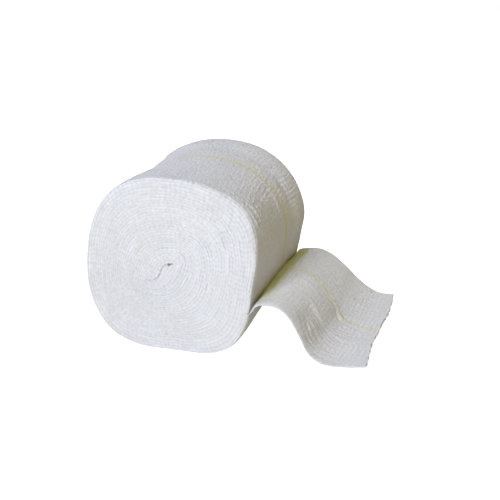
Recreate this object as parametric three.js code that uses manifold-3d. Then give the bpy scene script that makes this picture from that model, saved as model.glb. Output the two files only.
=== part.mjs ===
import * as THREE from "three";
import { mergeVertices } from "three/addons/utils/BufferGeometryUtils.js";
import Module from "manifold-3d";

// A length of flat knitted tube, wound on itself into a roll that lies on its side. Its free end
// creases away from the roll, humps over and lies flat as far as its ragged cut edge.
// Millimetres, +Z up. The origin is the middle of the small flat that the roll rests on, +X points
// along the free end, and Y runs along the roll, from its near end at -Y to its far end at +Y.

// Driving sizes
const BAND_WIDTH = 107.5; // flat width of the tube, which is the length of the roll
const LAYER = 1.6; // one turn of the flattened tube, two walls of knit
const CLEARANCE = 0.3; // between the roll and its free end
const AXIS = { x: -7.8, z: 50.7 }; // middle of the roll's outline
const EYE = { x: -13.6, z: 46.7 }; // middle of the winding, where the first fold lies
const RIM_ROUNDING = 2.4; // at both ends of the barrel
const TURN = 360; // degrees

// Outline of the roll: radius about the axis by angle from +X, anticlockwise from the near end
const OUTLINE = [
  { angle: -8, near: 48.9, waist: 49.7, far: 50.9 },
  { angle: 10, near: 51.4, waist: 50.9, far: 53.1 },
  { angle: 38, near: 56.3, waist: 53.0, far: 53.7 },
  { angle: 60, near: 52.8, waist: 51.9, far: 53.1 },
  { angle: 86, near: 50.6, waist: 51.1, far: 51.9 },
  { angle: 118, near: 53.3, waist: 51.6, far: 53.7 },
  { angle: 129, near: 54.0, waist: 52.3, far: 55.2 },
  { angle: 138, near: 53.7, waist: 51.8, far: 53.4 },
  { angle: 174, near: 50.8, waist: 50.8, far: 51.5 },
  { angle: 200, near: 53.8, waist: 52.4, far: 52.4 },
  { angle: 227, near: 57.1, waist: 54.4, far: 53.6 },
  { angle: 262, near: 51.5, waist: 51.3, far: 51.2 },
  { angle: 272, near: 50.8, waist: 50.8, far: 50.8 },
  { angle: 290, near: 54.1, waist: 54.0, far: 53.9 },
  { angle: 308, near: 56.9, waist: 55.4, far: 54.6 },
];

// Girth along the roll: how much of each end's outline is felt there, and the soft swells
const GIRTH = [
  { y: -54, near: 1.0, far: 0.0, swell: 0.0 },
  { y: -40, near: 0.9, far: 0.0, swell: 0.2 },
  { y: -20, near: 0.4, far: 0.0, swell: 0.0 },
  { y: 0, near: 0.0, far: 0.0, swell: 0.0 },
  { y: 14, near: 0.0, far: 0.25, swell: 0.0 },
  { y: 26, near: 0.0, far: 0.5, swell: -0.5 },
  { y: 38, near: 0.0, far: 1.0, swell: 0.2 },
  { y: 54, near: 0.0, far: 1.0, swell: 0.0 },
];

// End of the roll: the turns stand out or lie back in a few broad terraces round the eye
const TERRACES = [
  { share: 0.0, sunk: 0.8 },
  { share: 0.14, sunk: 0.3 },
  { share: 0.26, sunk: 0.9 },
  { share: 0.4, sunk: 0.0 },
  { share: 0.54, sunk: 0.7 },
  { share: 0.68, sunk: 0.1 },
  { share: 0.82, sunk: 0.5 },
];

// The slit at the eye, a flattened S where the first fold was wound
const SLIT = { length: 20, width: 2.6, bow: 1.9, tilt: 40, depth: 6, steps: 12 };

// Angle at which the outer turn leaves the roll, and the hollow that it leaves under itself
const LEAVING = { near: -24.5, middle: -22, far: -26, depth: 2.5, hollow: 5, fade: 8 };

// Free end, as its middle layer runs from the crease to the cut, in three lengthwise lines
const FREE_END = [
  { nearX: 42.0, nearZ: 32.6, middleX: 43.8, middleZ: 32.4, farX: 41.9, farZ: 31.1 },
  { nearX: 47.3, nearZ: 34.4, middleX: 51.0, middleZ: 32.4, farX: 47.8, farZ: 32.2 },
  { nearX: 55.6, nearZ: 33.1, middleX: 58.5, middleZ: 30.3, farX: 55.0, farZ: 32.5 },
  { nearX: 61.1, nearZ: 28.5, middleX: 64.4, middleZ: 25.6, farX: 62.5, farZ: 29.6 },
  { nearX: 67.0, nearZ: 18.0, middleX: 71.7, middleZ: 17.0, farX: 71.5, farZ: 22.5 },
  { nearX: 71.8, nearZ: 8.1, middleX: 76.9, middleZ: 9.0, farX: 79.7, farZ: 14.1 },
  { nearX: 77.4, nearZ: 3.0, middleX: 82.6, middleZ: 4.0, farX: 87.0, farZ: 7.9 },
  { nearX: 84.8, nearZ: 0.8, middleX: 90.2, middleZ: 1.2, farX: 94.3, farZ: 4.0 },
  { nearX: 104.6, nearZ: 0.8, middleX: 105.0, middleZ: 0.8, farX: 105.8, farZ: 2.6 },
];
const SIDEWAYS = { most: 8.9, growth: 2.6 }; // the free end drifts towards the far side by its cut
const CUT = [
  { across: 0.0, short: 1.2 },
  { across: 0.2, short: 2.5 },
  { across: 0.34, short: 3.0 },
  { across: 0.42, short: 2.3 },
  { across: 0.55, short: 2.2 },
  { across: 0.72, short: 0.9 },
  { across: 0.88, short: 1.3 },
  { across: 1.0, short: 2.5 },
];

// Fineness
const COLUMNS = 91; // round the roll, with one for the step under the free end
const BARREL_SPANS = 13; // odd, so that the origin lies inside a facet of the flat
const RIM_SPANS = 3;
const BEND_SPANS = 9; // along the crease of the free end
const BEND_LENGTH = 9;
const LENGTH_SPANS = 34; // along the rest of it
const WIDTH_SPANS = 14;

// Smooth curve through a table's rows that overshoots none of them
function through(rows, key, column, period = 0) {
  const first = rows[0];
  const table = period ? [...rows, { ...first, [key]: first[key] + period }] : rows;
  const last = table.length - 1;
  const rise = (i) => {
    const span = table[i + 1][key] - table[i][key];
    return (table[i + 1][column] - table[i][column]) / span;
  };
  const slope = (i) => {
    if (!period && (i === 0 || i === last)) {
      return 0;
    }
    const before = rise(i === 0 ? last - 1 : i - 1);
    const after = rise(i === last ? 0 : i);
    return before * after > 0 ? (2 * before * after) / (before + after) : 0;
  };
  return (value) => {
    const wrapped = period ? THREE.MathUtils.euclideanModulo(value - first[key], period) : value - first[key];
    const at = THREE.MathUtils.clamp(first[key] + wrapped, first[key], table[last][key]);
    let i = 0;
    while (i < last - 1 && at > table[i + 1][key]) {
      i += 1;
    }
    const span = table[i + 1][key] - table[i][key];
    const t = (at - table[i][key]) / span;
    const bump = (3 - 2 * t) * t * t;
    const lean = t * (1 - t) * span;
    const level = THREE.MathUtils.lerp(table[i][column], table[i + 1][column], bump);
    return level + lean * ((1 - t) * slope(i) - t * slope(i + 1));
  };
}

const outline = {
  near: through(OUTLINE, "angle", "near", TURN),
  waist: through(OUTLINE, "angle", "waist", TURN),
  far: through(OUTLINE, "angle", "far", TURN),
};
const girth = {
  near: through(GIRTH, "y", "near"),
  far: through(GIRTH, "y", "far"),
  swell: through(GIRTH, "y", "swell"),
};
const cutShort = through(CUT, "across", "short");

// A value along the roll from its values at the near end, the middle and the far end
function alongRoll(y, near, middle, far) {
  const share = (2 * y) / BAND_WIDTH;
  return middle + ((far - near) / 2) * share + ((far + near) / 2 - middle) * share * share;
}

function leavingAngle(y) {
  return alongRoll(y, LEAVING.near, LEAVING.middle, LEAVING.far);
}

// Radius of the outermost turn
function outerRadius(angle, y) {
  const waist = outline.waist(angle);
  const flare = girth.near(y) * (outline.near(angle) - waist) + girth.far(y) * (outline.far(angle) - waist);
  return waist + flare + girth.swell(y);
}

// Radius of the wound form, which steps in under the free end
function woundRadius(angle, y, below) {
  const hollow = 1 - THREE.MathUtils.smoothstep(below, LEAVING.hollow, LEAVING.hollow + LEAVING.fade);
  return outerRadius(angle, y) - LEAVING.depth * hollow;
}

// Rings of the roll from the near end's eye over the barrel to the far end's eye
function rollRings() {
  const end = BAND_WIDTH / 2;
  const face = TERRACES.map(({ share, sunk }) => ({ y: sunk - end, share, inset: 0 }));
  const rim = [];
  for (let i = 0; i <= RIM_SPANS; i += 1) {
    const angle = ((i / RIM_SPANS) * Math.PI) / 2;
    const y = RIM_ROUNDING * (1 - Math.sin(angle)) - end;
    rim.unshift({ y, share: 1, inset: RIM_ROUNDING * (1 - Math.cos(angle)) });
  }
  const half = [...face, ...rim];
  const barrel = [];
  for (let i = 1; i < BARREL_SPANS; i += 1) {
    const y = (i / BARREL_SPANS - 0.5) * (BAND_WIDTH - 2 * RIM_ROUNDING);
    barrel.push({ y, share: 1, inset: 0 });
  }
  const back = half.map((ring) => ({ ...ring, y: -ring.y })).reverse();
  return [...half, ...barrel, ...back];
}

// A point of the roll, pressed flat where it rests
function rollPoint(ring, angle, below) {
  const radius = ring.share * (woundRadius(angle, ring.y, below) - ring.inset);
  const turn = THREE.MathUtils.degToRad(angle);
  const x = THREE.MathUtils.lerp(EYE.x, AXIS.x, ring.share) + radius * Math.cos(turn);
  const z = THREE.MathUtils.lerp(EYE.z, AXIS.z, ring.share) + radius * Math.sin(turn);
  return new THREE.Vector3(x, ring.y, Math.max(z, 0));
}

// Moves every point of a geometry, merges the shared ones and leaves positions alone
function reshaped(geometry, move) {
  const position = geometry.getAttribute("position");
  const uv = geometry.getAttribute("uv");
  for (let i = 0; i < position.count; i += 1) {
    const at = new THREE.Vector3().fromBufferAttribute(position, i);
    const moved = move(at, new THREE.Vector2().fromBufferAttribute(uv, i));
    position.setXYZ(i, moved.x, moved.y, moved.z);
  }
  geometry.deleteAttribute("normal");
  geometry.deleteAttribute("uv");
  return mergeVertices(geometry, 1e-4);
}

// The whole winding: a globe's grid pulled over the rings, its last column the step
function windingGeometry() {
  const rings = rollRings();
  const spans = rings.length - 1;
  return reshaped(new THREE.SphereGeometry(1, COLUMNS, spans), (_, uv) => {
    const ring = rings[Math.round(uv.y * spans)];
    const column = Math.floor(uv.x * COLUMNS + 0.25) % COLUMNS;
    const below = (TURN * column) / (COLUMNS - 1);
    const under = column === COLUMNS - 1 ? TURN : below;
    return rollPoint(ring, leavingAngle(ring.y) - below, under);
  });
}

// A bar with the slit's outline that reaches its depth into both ends
function slitGeometry(side) {
  const middle = [];
  for (let i = 0; i <= SLIT.steps; i += 1) {
    const t = (2 * i) / SLIT.steps - 1;
    const along = (t * SLIT.length) / 2;
    middle.push({ along, bow: SLIT.bow * Math.sin(Math.PI * t), half: (SLIT.width / 2) * Math.sqrt(1 - t * t) });
  }
  const inner = middle.slice(1, -1).reverse();
  const points = [
    ...middle.map(({ along, bow, half }) => new THREE.Vector2(along, bow - half)),
    ...inner.map(({ along, bow, half }) => new THREE.Vector2(along, bow + half)),
  ];
  const depth = 2 * SLIT.depth;
  const geometry = new THREE.ExtrudeGeometry(new THREE.Shape(points), { depth, bevelEnabled: false, steps: 1 });
  geometry.translate(0, 0, -SLIT.depth);
  geometry.rotateZ(THREE.MathUtils.degToRad(SLIT.tilt));
  geometry.rotateX(Math.PI / 2);
  geometry.translate(EYE.x, (side * BAND_WIDTH) / 2, EYE.z);
  geometry.deleteAttribute("normal");
  geometry.deleteAttribute("uv");
  return mergeVertices(geometry, 1e-4);
}

const wasm = await Module();
wasm.setup();

function solid(geometry) {
  const triVerts = new Uint32Array(geometry.index.array);
  const vertProperties = geometry.getAttribute("position").array;
  return new wasm.Manifold(new wasm.Mesh({ numProp: 3, vertProperties, triVerts }));
}

function geometryOf(manifold) {
  const mesh = manifold.getMesh();
  const geometry = new THREE.BufferGeometry();
  geometry.setAttribute("position", new THREE.BufferAttribute(mesh.vertProperties, 3));
  geometry.setIndex(new THREE.BufferAttribute(mesh.triVerts, 1));
  return geometry;
}

function rollGeometry() {
  const winding = solid(windingGeometry());
  const slit = solid(slitGeometry(-1)).add(solid(slitGeometry(1)));
  return geometryOf(winding.subtract(slit));
}

// A lengthwise line of the free end: out of the step, round the tight crease and on to the cut
function lengthLine(across) {
  const y = (across - 0.5) * BAND_WIDTH;
  const angle = leavingAngle(y);
  const turn = THREE.MathUtils.degToRad(angle);
  const out = new THREE.Vector3(Math.cos(turn), 0, Math.sin(turn));
  const down = new THREE.Vector3(Math.sin(turn), 0, -Math.cos(turn));
  const radius = outerRadius(angle, y) - LAYER / 2;
  const root = new THREE.Vector3(AXIS.x, 0, AXIS.z).addScaledVector(out, radius).addScaledVector(down, CLEARANCE);
  const step = (fall, clear) => root.clone().addScaledVector(down, fall).addScaledVector(out, clear);
  const points = [root, step(LAYER * 0.7, 0), step(LAYER * 1.4, LAYER * 0.8), step(LAYER * 0.7, LAYER * 1.7)];
  for (const row of FREE_END) {
    const x = alongRoll(y, row.nearX, row.middleX, row.farX);
    const z = alongRoll(y, row.nearZ, row.middleZ, row.farZ);
    points.push(new THREE.Vector3(x, 0, z));
  }
  return new THREE.CatmullRomCurve3(points, false, "centripetal");
}

// The free end: a flat slab whose length follows those lines
function freeEndGeometry() {
  const spans = BEND_SPANS + LENGTH_SPANS;
  const lines = [];
  for (let i = 0; i <= WIDTH_SPANS; i += 1) {
    lines.push(lengthLine(i / WIDTH_SPANS));
  }
  return reshaped(new THREE.BoxGeometry(spans, WIDTH_SPANS, 1, spans, WIDTH_SPANS, 1), (at) => {
    const step = Math.round(at.x + spans / 2);
    const row = Math.round(at.y + WIDTH_SPANS / 2);
    const across = row / WIDTH_SPANS;
    const line = lines[row];
    const full = line.getLength();
    const past = (step - BEND_SPANS) / LENGTH_SPANS;
    const rest = full - cutShort(across) - BEND_LENGTH;
    const run = past < 0 ? (BEND_LENGTH * step) / BEND_SPANS : BEND_LENGTH + rest * past;
    const middle = line.getPointAt(run / full);
    const along = line.getTangentAt(run / full);
    const up = new THREE.Vector3(-along.z, 0, along.x);
    const moved = middle.addScaledVector(up, at.z * LAYER);
    const drift = SIDEWAYS.most * Math.pow(run / full, SIDEWAYS.growth);
    return new THREE.Vector3(moved.x, (across - 0.5) * BAND_WIDTH + drift, Math.max(moved.z, 0));
  });
}

function cottonKnit(color) {
  return new THREE.MeshStandardMaterial({ color, roughness: 0.95, metalness: 0 });
}

function piece(name, geometry, material) {
  const mesh = new THREE.Mesh(geometry, material);
  mesh.name = name;
  return mesh;
}

const tubularBandageRoll = new THREE.Group();
tubularBandageRoll.add(piece("wound_roll", rollGeometry(), cottonKnit(0xefeeea)));
tubularBandageRoll.add(piece("loose_end", freeEndGeometry(), cottonKnit(0xe9e7df)));

export default tubularBandageRoll;
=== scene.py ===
"""A roll of flat knitted tubular bandage lying on its side, with one loose end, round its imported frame."""

import logging
import math
from collections.abc import Sequence
from dataclasses import dataclass, field
from enum import Enum
from typing import NamedTuple

import bmesh
import bpy
import numpy as np
from mathutils import Euler, Matrix, Vector


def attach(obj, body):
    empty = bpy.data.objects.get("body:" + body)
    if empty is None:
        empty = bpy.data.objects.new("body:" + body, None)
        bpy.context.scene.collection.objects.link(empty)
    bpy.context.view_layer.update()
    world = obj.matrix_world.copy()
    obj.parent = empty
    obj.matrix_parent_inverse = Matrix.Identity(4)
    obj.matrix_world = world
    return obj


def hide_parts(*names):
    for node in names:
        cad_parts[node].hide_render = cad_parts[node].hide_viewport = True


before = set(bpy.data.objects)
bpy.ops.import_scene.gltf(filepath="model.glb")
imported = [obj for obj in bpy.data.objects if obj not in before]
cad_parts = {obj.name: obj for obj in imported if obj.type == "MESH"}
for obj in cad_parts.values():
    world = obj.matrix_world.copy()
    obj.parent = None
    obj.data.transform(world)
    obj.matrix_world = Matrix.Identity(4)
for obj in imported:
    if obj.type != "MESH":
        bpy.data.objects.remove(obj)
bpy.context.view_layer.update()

MM = 0.001  # the bandage is worked out in millimetres and laid down in metres
TURN = 360.0  # degrees
FAR_OFF = 99.0  # a distance to the yellow line where there is none
WALL_DEPTH = 0.8  # from the middle of the flattened tube to either wall, where the rim is drawn in
FOLD_WEAR = 0.72  # share of the loose fibres that is gone round a fold
Socket = bpy.types.NodeSocket
logger = logging.getLogger("tubular_bandage_roll")


class OutlineRow(NamedTuple):
    """Radius of the roll at one angle about its axis, in millimetres and degrees."""

    angle: float
    near: float
    waist: float
    far: float


class GirthRow(NamedTuple):
    """How much of each end's outline is felt at one place along the roll."""

    y: float
    near: float
    far: float
    swell: float


class TerraceRow(NamedTuple):
    """How far the turns lie back from the end of the roll at one share of its radius."""

    share: float
    sunk: float


class LengthRow(NamedTuple):
    """One place along the loose end, on its near edge, its middle and its far edge."""

    near_x: float
    near_z: float
    middle_x: float
    middle_z: float
    far_x: float
    far_z: float


class CutRow(NamedTuple):
    """How far short of its full length the cloth is cut at one share of its width."""

    across: float
    short: float


class LineRow(NamedTuple):
    """Where the yellow line runs: its distance from the middle of the band at one place."""

    place: float
    y: float


class GapRow(NamedTuple):
    """An arc where two turns stand apart: turns below the surface, middle angle, half span, width."""

    below: float
    angle: float
    half: float
    width: float


class WrinkleRow(NamedTuple):
    """A soft ridge or trough along the cloth, in millimetres, and how far askew it runs."""

    run: float
    y: float
    length: float
    width: float
    height: float
    skew: float


class SmoothTable:
    """A smooth curve through a table's rows, which overshoots none of them."""

    def __init__(self, rows: Sequence[NamedTuple], key: str, period: float = 0.0) -> None:
        """Keep the rows.

        Args:
            rows: The table, in rising order of its key.
            key: The column that the curve is read by.
            period: The key's period where the table closes on itself, or 0.
        """
        self.rows = rows
        self.places = np.array([getattr(row, key) for row in rows], dtype=float)
        self.period = period

    def column(self, name: str, at: np.ndarray) -> np.ndarray:
        """Read one column.

        Args:
            name: The column.
            at: Places in the key's unit.

        Returns:
            The column's value at each place.
        """
        places = self.places
        levels = np.array([getattr(row, name) for row in self.rows], dtype=float)
        at = np.asarray(at, dtype=float)
        if self.period:
            at = places[0] + np.mod(at - places[0], self.period)
            places = np.concatenate([places - self.period, places, places + self.period])
            levels = np.tile(levels, 3)
        at = np.clip(at, places[0], places[-1])
        rise = np.diff(levels) / np.diff(places)
        product = rise[:-1] * rise[1:]
        total = np.where(product > 0, rise[:-1] + rise[1:], 1.0)
        slope = np.zeros_like(levels)
        slope[1:-1] = np.where(product > 0, 2 * product / total, 0.0)
        i = np.clip(np.searchsorted(places, at, side="right") - 1, 0, len(places) - 2)
        span = places[i + 1] - places[i]
        t = (at - places[i]) / span
        bump = (3 - 2 * t) * t * t
        lean = t * (1 - t) * span * ((1 - t) * slope[i] - t * slope[i + 1])
        return levels[i] + (levels[i + 1] - levels[i]) * bump + lean


def smoothstep(value: np.ndarray, low: float, high: float) -> np.ndarray:
    """A soft step from 0 at low to 1 at high."""
    t = np.clip((value - low) / (high - low), 0.0, 1.0)
    return t * t * (3 - 2 * t)


def across_band(share: np.ndarray, near: float, middle: float, far: float) -> np.ndarray:
    """A value across the band from its near edge, middle and far edge, by share of the half width."""
    return middle + (far - near) / 2 * share + ((far + near) / 2 - middle) * share * share


def keep_on_outer_wall(away: np.ndarray, section: "Section") -> np.ndarray:
    """Distances to the yellow line on the outer wall, and large ones of the same sign elsewhere."""
    return np.where(section.lift > 0.99, away, np.where(away < 0, -FAR_OFF, FAR_OFF))


class Unevenness:
    """A soft waver that is the same in every run, made of a few seeded waves."""

    RANGE = (0.4, 1.6)  # least and most waves in one wavelength

    def __init__(self, seed: int, waves: int = 9) -> None:
        """Draw the waves.

        Args:
            seed: Seed of the random draws.
            waves: Number of waves added up.
        """
        draw = np.random.default_rng(seed)
        self.along = draw.uniform(*self.RANGE, waves) * draw.choice([-1.0, 1.0], waves)
        self.across = draw.uniform(*self.RANGE, waves)
        self.phase = draw.uniform(0.0, math.tau, waves)

    def at(self, along: np.ndarray, across: np.ndarray) -> np.ndarray:
        """The waver, about -1 to 1.

        Args:
            along: Place along the cloth in wavelengths.
            across: Place across the cloth in wavelengths.

        Returns:
            One value for each place.
        """
        total = 0.0
        for a, b, phase in zip(self.along, self.across, self.phase):
            total = total + np.sin(math.tau * (a * along + b * across) + phase)
        return total / math.sqrt(2 * len(self.phase))


@dataclass(frozen=True)
class Section:
    """The flattened tube's section, once round from the middle of its inner wall.

    across is in millimetres from the band's middle, lift runs from -1 on the inner wall to 1 on the
    outer wall, fold from -1 at the near fold to 1 at the far fold, and round is the way round in mm.
    """

    across: np.ndarray
    lift: np.ndarray
    fold: np.ndarray
    round: np.ndarray

    @property
    def fuzz(self) -> np.ndarray:
        """Strength of the loose fibres: less round the folds, where the cloth is stretched."""
        return 1 - FOLD_WEAR * np.abs(self.fold)

    @classmethod
    def flattened(
        cls, width: float, bead: float, outer: np.ndarray, inner: np.ndarray, steps: int
    ) -> "Section":
        """Lay the tube flat.

        Args:
            width: Flat width of the tube.
            bead: How deep each rounded fold is.
            outer: Columns of the outer wall as shares of its half width, -1 to 1.
            inner: Columns of the inner wall, with 0 among them.
            steps: Spans round each fold.

        Returns:
            The section, its first point repeated as its last.
        """
        half = width / 2 - bead
        turn = np.linspace(-math.pi / 2, math.pi / 2, steps + 1)[1:-1]
        near_inner = inner[inner <= 0][::-1] * half
        far_inner = inner[inner >= 0][::-1] * half
        near_fold = -half - bead * np.cos(turn)
        walls = [near_inner, near_fold, outer * half, -near_fold, far_inner]
        ones = np.ones_like
        lifts = [-ones(near_inner), np.sin(turn), ones(outer), -np.sin(turn), -ones(far_inner)]
        folds = [0 * near_inner, -np.cos(turn), 0 * outer, np.cos(turn), 0 * far_inner]
        across = np.concatenate(walls)
        lift = np.concatenate(lifts)
        step = np.hypot(np.diff(across), np.diff(lift) * bead)
        return cls(across, lift, np.concatenate(folds), np.concatenate([[0.0], np.cumsum(step)]))


@dataclass(frozen=True)
class KnitRelief:
    """What the stitches raise on the cloth, in millimetres."""

    pitch: float = 2.8  # from one elastic course to the next
    course: float = 0.16  # height of the courses on the walls
    knuckle: float = 0.32  # how far the courses stand out along the folds
    plump: float = 0.3  # how much thicker a course is than a gap at the folds
    rib: float = 0.2  # height of the lengthwise ribs
    rib_pitch: float = 4.3
    skew: float = 0.083  # how far the courses run askew, as a share of the way across
    swell: float = 0.22  # soft unevenness of the walls
    broad: float = 0.8  # power that broadens the courses' crests
    unequal: float = 0.3  # how much higher or lower one knuckle is than the next
    stray: float = 0.55  # how far the courses stray along the band

    def ridge(self, run: np.ndarray) -> np.ndarray:
        """The elastic courses as a wave from 0 in the gaps to 1 on the crests."""
        return np.power(0.5 + 0.5 * np.cos(math.tau * run / self.pitch), self.broad)

    def knuckles(self, run: np.ndarray, seed: int) -> np.ndarray:
        """The courses along a fold, each a little higher or lower than the next.

        Args:
            run: Place along the band.
            seed: Seed of the uneven heights.

        Returns:
            How far the fold stands out.
        """
        draw = np.random.default_rng(seed)
        count = int(run.max() / self.pitch) + 3
        heights = 1 + self.unequal * draw.uniform(-1, 1, count)
        which = np.clip(np.rint(run / self.pitch).astype(int), 0, count - 1)
        return self.knuckle * (self.ridge(run) * heights[which] - 0.5)

    def wall(self, run: np.ndarray, across: np.ndarray, raked: np.ndarray, tight: np.ndarray) -> np.ndarray:
        """Relief of a wall that shows.

        Args:
            run: Place along the band.
            across: Place across it from the middle.
            raked: Strength of the lengthwise ribs, 1 at their named height.
            tight: Strength of the crosswise courses, 1 at their named height.

        Returns:
            Height above the plain wall.
        """
        wander, drift, patch = Unevenness(11), Unevenness(23), Unevenness(37)
        # run and across are divided by wavelengths in millimetres
        bowed = run + self.skew * across + self.stray * wander.at(run / 90, across / 38)
        ladder = self.course * tight * (self.ridge(bowed) - 0.5) * (1 + 0.35 * patch.at(run / 24, across / 9))
        lane = across / self.rib_pitch + 0.6 * drift.at(run / 45, across / 26)
        ribs = self.rib * raked * np.cos(math.tau * lane) * (0.55 + 0.6 * patch.at(run / 19, across / 7))
        return ladder + ribs + self.swell * drift.at(run / 120, across / 46)


def raised_by(rows: Sequence[WrinkleRow], run: np.ndarray, y: np.ndarray) -> np.ndarray:
    """Height of soft ridges and troughs.

    Args:
        rows: The ridges and troughs.
        run: Places along the cloth.
        y: Places across it.

    Returns:
        The height at each place.
    """
    total = 0.0
    for w in rows:
        side = (y - w.y - w.skew * (run - w.run)) / w.width
        total = total + w.height * np.exp(-np.square((run - w.run) / w.length) - np.square(side))
    return total


@dataclass
class RollForm:
    """The wound form: its outline, its girth along the roll and the spiral inside it."""

    band_width: float = 107.5
    turns: int = 31
    packing: float = 1.18  # share of its room that a turn fills: it presses a little into the next
    half_limits: tuple[float, float] = (0.4, 1.3)  # least and most of half a turn's thickness
    first_turn: float = 0.95  # turns left out at the eye, where the slit is
    axis: tuple[float, float] = (-7.8, 50.7)
    eye: tuple[float, float] = (-13.6, 46.7)
    rim: float = 2.4
    core_radius: float = 52.0
    slit_tilt: float = 38.0
    slit_reach: float = 8.6
    slit_bow: float = 1.7
    hollow: float = 5.0  # degrees that the outer turn is squeezed in under the loose end
    hollow_fade: float = 8.0
    near_hollow: float = 0.08  # share of both at the near end
    leaving: tuple[float, float, float] = (-26.2, -22.0, -26.0)  # at the near end, middle and far end
    near_zone: tuple[float, float] = (-50.0, -30.0)  # where the near end gives way to the rest
    step_turns: float = 4.0  # turns under the surface over which the step at the crease dies out
    squareness: float = 0.8  # power by which the square outline fades towards the eye
    slit_fade: float = 1.5
    bow_fade: float = 3.0
    gap_focus: float = 1.5
    gap_edge: float = 0.35  # turns over which a gap opens
    gap_fade: float = 2.5  # turns over which its push dies out
    outer_room: float = 1.75  # most room that the outermost turn takes outwards
    press_from: tuple[float, float] = (140.0, 180.0)  # angles between which the pressed rim begins
    press_to: tuple[float, float] = (295.0, 325.0)  # and between which it ends
    sink_reach: float = 8.0  # power by which the turns sink at the ends alone
    outline: tuple[OutlineRow, ...] = (
        OutlineRow(angle=-8, near=48.9, waist=49.7, far=50.9),
        OutlineRow(angle=10, near=51.4, waist=50.9, far=53.1),
        OutlineRow(angle=38, near=56.3, waist=53.0, far=53.7),
        OutlineRow(angle=60, near=52.8, waist=51.9, far=53.1),
        OutlineRow(angle=86, near=50.6, waist=51.1, far=51.9),
        OutlineRow(angle=118, near=53.3, waist=51.6, far=53.7),
        OutlineRow(angle=129, near=54.0, waist=52.3, far=55.2),
        OutlineRow(angle=138, near=53.7, waist=51.8, far=53.4),
        OutlineRow(angle=174, near=50.8, waist=50.8, far=51.5),
        OutlineRow(angle=200, near=53.8, waist=52.4, far=52.4),
        OutlineRow(angle=227, near=57.1, waist=54.4, far=53.6),
        OutlineRow(angle=262, near=51.5, waist=51.3, far=51.2),
        OutlineRow(angle=272, near=50.8, waist=50.8, far=50.8),
        OutlineRow(angle=290, near=54.1, waist=54.0, far=53.9),
        OutlineRow(angle=308, near=56.9, waist=55.4, far=54.6),
    )
    girth: tuple[GirthRow, ...] = (
        GirthRow(y=-54, near=1.0, far=0.0, swell=0.0),
        GirthRow(y=-40, near=0.9, far=0.0, swell=0.2),
        GirthRow(y=-20, near=0.4, far=0.0, swell=0.0),
        GirthRow(y=0, near=0.0, far=0.0, swell=0.0),
        GirthRow(y=14, near=0.0, far=0.25, swell=0.0),
        GirthRow(y=26, near=0.0, far=0.5, swell=-0.5),
        GirthRow(y=38, near=0.0, far=1.0, swell=0.2),
        GirthRow(y=54, near=0.0, far=1.0, swell=0.0),
    )
    terraces: tuple[TerraceRow, ...] = (
        TerraceRow(share=0.0, sunk=0.8),
        TerraceRow(share=0.14, sunk=0.3),
        TerraceRow(share=0.26, sunk=0.9),
        TerraceRow(share=0.4, sunk=0.0),
        TerraceRow(share=0.54, sunk=0.5),
        TerraceRow(share=0.7, sunk=0.0),
        TerraceRow(share=0.88, sunk=0.1),
        TerraceRow(share=1.0, sunk=0.3),
    )
    gaps: tuple[GapRow, ...] = (
        GapRow(below=25.6, angle=128, half=46, width=0.3),
        GapRow(below=20.5, angle=266, half=30, width=0.3),
        GapRow(below=12.6, angle=268, half=26, width=0.28),
        GapRow(below=6.4, angle=84, half=9, width=0.25),
        GapRow(below=15.5, angle=118, half=40, width=0.15),
        GapRow(below=10.6, angle=104, half=34, width=0.15),
        GapRow(below=8.5, angle=335, half=34, width=0.15),
        GapRow(below=5.5, angle=325, half=30, width=0.15),
    )

    def __post_init__(self) -> None:
        """Turn the tables into curves."""
        self.outline_curve = SmoothTable(self.outline, "angle", TURN)
        self.girth_curve = SmoothTable(self.girth, "y")
        self.terrace_curve = SmoothTable(self.terraces, "share")

    @property
    def half(self) -> float:
        """Half the band's width."""
        return self.band_width / 2

    @property
    def wound(self) -> float:
        """Degrees from the crease back to the start of the winding."""
        return TURN * (self.turns - self.first_turn)

    def leaving_angle(self, y: np.ndarray) -> np.ndarray:
        """Angle at which the loose end leaves the roll, for a place along the roll."""
        return across_band(y / self.half, *self.leaving)

    def surface(self, angle: np.ndarray, y: np.ndarray) -> np.ndarray:
        """Radius of the outermost turn.

        Args:
            angle: Degrees about the axis from +X.
            y: Place along the roll.

        Returns:
            The radius at each pair of them.
        """
        waist = self.outline_curve.column("waist", angle)
        near = self.outline_curve.column("near", angle) - waist
        far = self.outline_curve.column("far", angle) - waist
        flare = self.girth_curve.column("near", y) * near + self.girth_curve.column("far", y) * far
        return waist + flare + self.girth_curve.column("swell", y)

    def share(self, left: np.ndarray) -> np.ndarray:
        """Share of the full radius that a turn has, by the degrees left to wind."""
        return 1 - left / TURN / self.turns

    def ease(self, left: np.ndarray, y: np.ndarray) -> np.ndarray:
        """How many turns higher the cloth lies than in an even spiral: the surface steps at the crease.

        Args:
            left: Degrees left to wind.
            y: Place along the roll.

        Returns:
            0 right under the crease, rising to nearly 1 past it.
        """
        whole = np.floor(left / TURN)
        part = left / TURN - whole
        squeezed = 1 - (1 - self.near_hollow) * (1 - smoothstep(y, *self.near_zone))
        eased = smoothstep(TURN * (1 - part) / squeezed, self.hollow, self.hollow + self.hollow_fade)
        return part * eased * np.clip(1 - whole / self.step_turns, 0, 1)

    def depth(self, left: np.ndarray, y: np.ndarray) -> np.ndarray:
        """Depth of the cloth's middle under the surface."""
        return self.core_radius / self.turns * (left / TURN + 0.5 - self.ease(left, y))

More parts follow.
